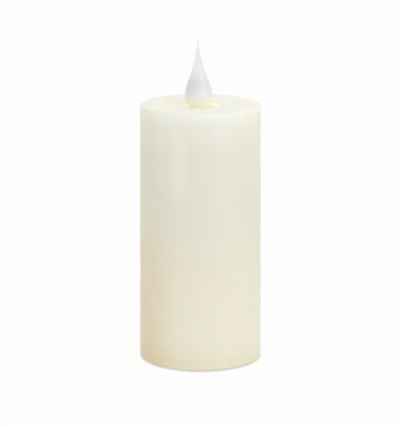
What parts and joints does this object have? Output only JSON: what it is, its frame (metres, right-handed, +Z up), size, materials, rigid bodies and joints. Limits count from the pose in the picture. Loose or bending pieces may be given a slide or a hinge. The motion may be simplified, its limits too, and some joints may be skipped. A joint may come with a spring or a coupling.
{
  "type": "flameless led candle",
  "caption": "Ivory wax pillar candle with an LED-lit flame that swings on a wire over a coil, and a screwed base with a battery door and a timer switch.",
  "frame": {"origin": "on the table, under the middle of the pillar", "axes": "+Z up along the pillar, -Y to the front where the switch is, +X to the right"},
  "size_m": [0.0762, 0.0762, 0.201],
  "materials": {
    "wax": "satin, slightly translucent paraffin",
    "flame": "frosted translucent, lit from below",
    "stem": "satin",
    "magnet": "bright nickel plate",
    "steel_wire": "drawn wire",
    "mechanism": "fine moulded texture",
    "bobbin": "satin",
    "copper": "enamelled copper winding",
    "board": "solder mask",
    "lamp": "clear epoxy over a warm white lamp",
    "core": "fine moulded texture",
    "base": "fine moulded texture",
    "screw": "zinc plated",
    "feet": "matt",
    "glue": "hot melt",
    "cell": "plain dark jacket with bare ends",
    "contact": "nickel plate",
    "black_plastic": "moulded",
    "can": "satin",
    "sleeve": "shrunk sleeve",
    "plug": "moulded",
    "red_wire": "wire insulation",
    "black_wire": "wire insulation",
    "yellow_wire": "wire insulation",
    "blue_wire": "wire insulation"
  },
  "bodies": {
    "candle": {"wax_shell": "wax", "glue_pads": "glue", "mechanism_left": "mechanism", "mechanism_right": "mechanism", "mechanism_screws": "screw", "coil_bobbin": "bobbin", "coil_winding": "copper", "led_board": "board", "left_led": "lamp", "right_led": "lamp", "core_housing": "core", "mount_screws": "screw", "base": "base", "base_screws": "screw", "rubber_feet": "feet", "rear_battery": "cell", "front_battery": "cell", "series_contact": "contact", "positive_contact": "contact", "negative_contact": "contact", "circuit_board": "board", "board_screws": "screw", "controller_chip": "black_plastic", "timer_crystal": "can", "capacitor": "sleeve", "transistors": "black_plastic", "resistors": "black_plastic", "wire_connectors": "plug", "switch_body": "can", "switch_board": "board", "switch_terminals": "contact", "red_battery_wire": "red_wire", "black_battery_wire": "black_wire", "switch_wires": "yellow_wire", "led_wires": "red_wire", "coil_wires": "blue_wire"},
    "pivot_wire": {"pivot_wire": "steel_wire"},
    "flame": {"flame_shell": "flame", "flame_stem": "stem", "flame_magnet": "magnet"},
    "battery_door": {"battery_door": "base"},
    "switch_slider": {"switch_slider": "black_plastic"}
  },
  "joints": [
    {"name": "flame_swing", "type": "hinge", "parent": "candle", "child": "pivot_wire", "pos_m": [0, 0, 0.152], "axis": [0, 1, 0], "range_deg": [-8, 8]},
    {"name": "flame_rock", "type": "hinge", "parent": "pivot_wire", "child": "flame", "pos_m": [0, 0, 0.1524], "axis": [1, 0, 0], "range_deg": [-4, 4]},
    {"name": "switch_slide", "type": "slide", "parent": "candle", "child": "switch_slider", "axis": [1, 0, 0], "range_m": [0, 0.004]},
    {"name": "battery_door_hinge", "type": "hinge", "parent": "candle", "child": "battery_door", "pos_m": [0, 0.0176, 0.0019], "axis": [1, 0, 0], "range_deg": [0, 100]}
  ]
}
